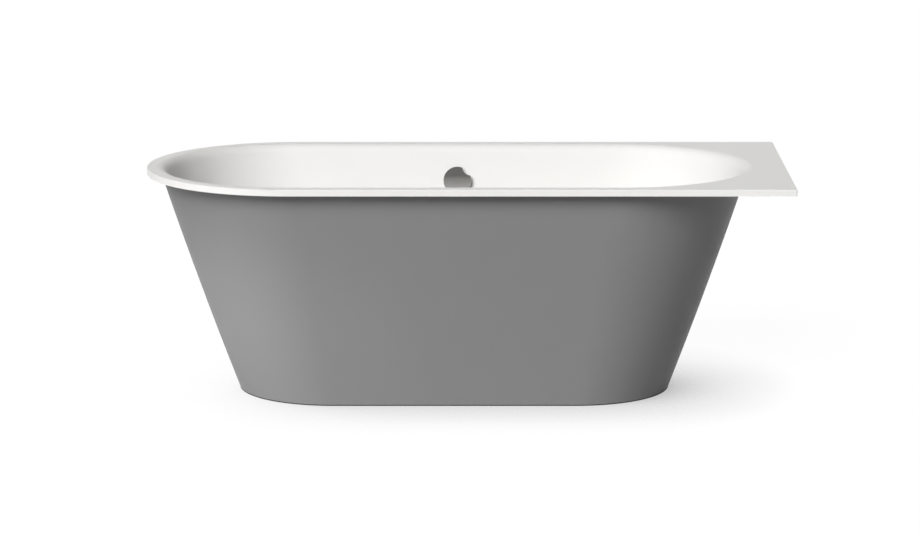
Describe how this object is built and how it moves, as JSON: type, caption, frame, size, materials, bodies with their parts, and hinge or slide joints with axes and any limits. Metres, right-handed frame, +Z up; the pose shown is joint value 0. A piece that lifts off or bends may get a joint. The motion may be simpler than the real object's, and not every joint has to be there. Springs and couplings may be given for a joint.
{
  "type": "bathtub",
  "caption": "Peninsula bathtub with a round free end, a square wall end, a tapered oval skirt, levelling feet and a knob-worked pop-up waste and overflow.",
  "frame": {"origin": "on the finished floor, under the middle of the rim's length and width", "axes": "+X along the rim to the square wall end, +Y to the side with the overflow knob, +Z up"},
  "size_m": [1.7498, 0.8, 0.618],
  "materials": {
    "white_enamel": "glossy vitreous enamel on sheet steel",
    "grey_enamel": "satin grey enamel on sheet steel",
    "chrome": "polished chrome plating",
    "seal_rubber": "matte moulded rubber",
    "damping_mat": "rough bituminous damping sheet",
    "zinc_steel": "zinc-plated steel",
    "foot_plastic": "matte black plastic",
    "white_plastic": "moulded white pipe plastic",
    "brass": "turned brass",
    "stainless": "stainless steel",
    "cable_sheath": "plastic-sheathed pull cable"
  },
  "bodies": {
    "tub": {"apron_clips_back": "zinc_steel", "apron_clips_front": "zinc_steel", "apron_skirt": "grey_enamel", "crank_pin": "stainless", "damping_mat_left": "damping_mat", "damping_mat_right": "damping_mat", "flange_seal": "seal_rubber", "floor_seal": "seal_rubber", "foot_lock_nuts": "zinc_steel", "foot_rail_left": "zinc_steel", "foot_rail_right": "zinc_steel", "foot_weld_nuts": "zinc_steel", "lower_pipe_nut": "white_plastic", "overflow_body": "white_plastic", "overflow_flange": "stainless", "overflow_pipe": "white_plastic", "overflow_screws": "stainless", "overflow_seal": "seal_rubber", "pull_cable": "cable_sheath", "rail_nuts": "zinc_steel", "rail_pads": "seal_rubber", "rail_washers": "zinc_steel", "trap_body": "white_plastic", "trap_cup": "white_plastic", "trap_cup_seal": "seal_rubber", "trap_nut": "white_plastic", "trap_seal": "seal_rubber", "tub_shell": "white_enamel", "upper_pipe_nut": "white_plastic", "waste_body": "white_plastic", "waste_body_seal": "seal_rubber", "waste_flange": "chrome", "weld_studs": "zinc_steel"},
    "knob": {"overflow_knob": "chrome", "knob_spindle": "brass", "cable_reel": "white_plastic"},
    "plug": {"waste_plug": "chrome", "plug_seal": "seal_rubber", "plug_stem": "stainless"},
    "crank": {"lift_crank": "brass"},
    "foot_front_left": {"foot_pad_front_left": "foot_plastic"},
    "stud_front_left": {"foot_stud_front_left": "zinc_steel"},
    "foot_front_right": {"foot_pad_front_right": "foot_plastic"},
    "stud_front_right": {"foot_stud_front_right": "zinc_steel"},
    "foot_back_left": {"foot_pad_back_left": "foot_plastic"},
    "stud_back_left": {"foot_stud_back_left": "zinc_steel"},
    "foot_back_right": {"foot_pad_back_right": "foot_plastic"},
    "stud_back_right": {"foot_stud_back_right": "zinc_steel"}
  },
  "joints": [
    {"name": "knob_turn", "type": "hinge", "parent": "tub", "child": "knob", "pos_m": [-0.024, 0.31612, 0.5184], "axis": [0, -0.9578, 0.2874], "range_deg": [0, 90]},
    {"name": "plug_lift", "type": "slide", "parent": "tub", "child": "plug", "axis": [0, 0, 1], "range_m": [0, 0.01]},
    {"name": "crank_turn", "type": "hinge", "parent": "tub", "child": "crank", "pos_m": [-0.024, 0.018, 0.138], "axis": [-1, 0, 0], "range_deg": [0, 32.26]},
    {"name": "foot_travel_front_left", "type": "slide", "parent": "tub", "child": "foot_front_left", "axis": [0, 0, 1], "range_m": [-0.02, 0.008]},
    {"name": "stud_turn_front_left", "type": "hinge", "parent": "foot_front_left", "child": "stud_front_left", "pos_m": [-0.3325, -0.215, 0], "axis": [0, 0, 1], "range_deg": [-4800, 1920]},
    {"name": "foot_travel_front_right", "type": "slide", "parent": "tub", "child": "foot_front_right", "axis": [0, 0, 1], "range_m": [-0.02, 0.008]},
    {"name": "stud_turn_front_right", "type": "hinge", "parent": "foot_front_right", "child": "stud_front_right", "pos_m": [0.2675, -0.215, 0], "axis": [0, 0, 1], "range_deg": [-4800, 1920]},
    {"name": "foot_travel_back_left", "type": "slide", "parent": "tub", "child": "foot_back_left", "axis": [0, 0, 1], "range_m": [-0.02, 0.008]},
    {"name": "stud_turn_back_left", "type": "hinge", "parent": "foot_back_left", "child": "stud_back_left", "pos_m": [-0.3325, 0.215, 0], "axis": [0, 0, 1], "range_deg": [-4800, 1920]},
    {"name": "foot_travel_back_right", "type": "slide", "parent": "tub", "child": "foot_back_right", "axis": [0, 0, 1], "range_m": [-0.02, 0.008]},
    {"name": "stud_turn_back_right", "type": "hinge", "parent": "foot_back_right", "child": "stud_back_right", "pos_m": [0.2675, 0.215, 0], "axis": [0, 0, 1], "range_deg": [-4800, 1920]}
  ],
  "couplings": [
    {"joint": "plug_lift", "follows": "knob_turn", "m_per_rad": 0.0063662},
    {"joint": "crank_turn", "follows": "knob_turn", "ratio": 0.35839},
    {"joint": "stud_turn_front_left", "follows": "foot_travel_front_left", "rad_per_m": 4188.8},
    {"joint": "stud_turn_front_right", "follows": "foot_travel_front_right", "rad_per_m": 4188.8},
    {"joint": "stud_turn_back_left", "follows": "foot_travel_back_left", "rad_per_m": 4188.8},
    {"joint": "stud_turn_back_right", "follows": "foot_travel_back_right", "rad_per_m": 4188.8}
  ]
}
